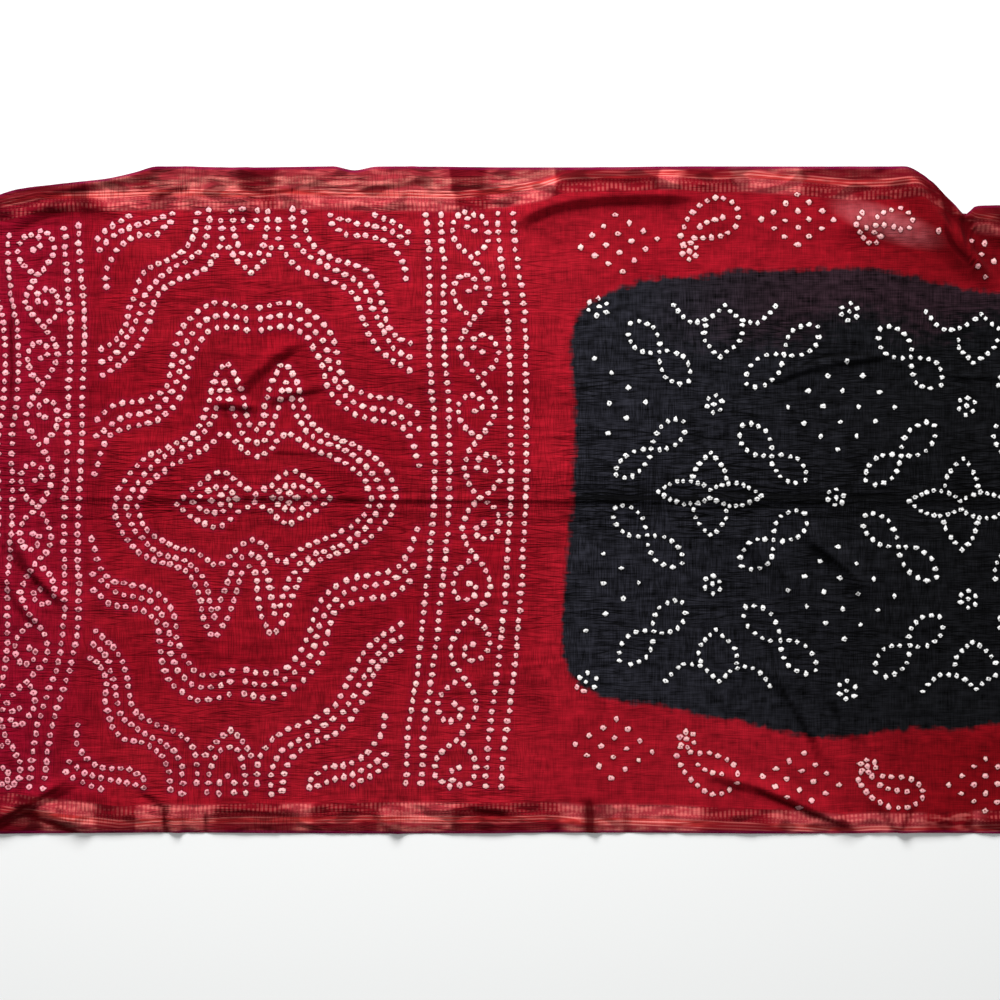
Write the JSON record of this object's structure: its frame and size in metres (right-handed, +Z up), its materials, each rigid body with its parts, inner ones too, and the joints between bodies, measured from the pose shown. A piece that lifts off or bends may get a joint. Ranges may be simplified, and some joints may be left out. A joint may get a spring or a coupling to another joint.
{
  "type": "bandhani cloth",
  "caption": "Cut length of tied and dyed crinkled cotton with two woven selvedge borders, lying spread out flat with soft folds and a turned-in corner.",
  "frame": {"origin": "on the surface the cloth lies on, below the middle of its length and width", "axes": "+X along the length, +Y across the width towards the upper selvedge, +Z up from the surface"},
  "size_m": [1, 0.657, 0.0196],
  "materials": {
    "cloth": "crinkled plain-weave cotton, dyed red with a dark field and pale tied dots"
  },
  "bodies": {
    "root": {"cloth": "cloth"}
  },
  "joints": []
}
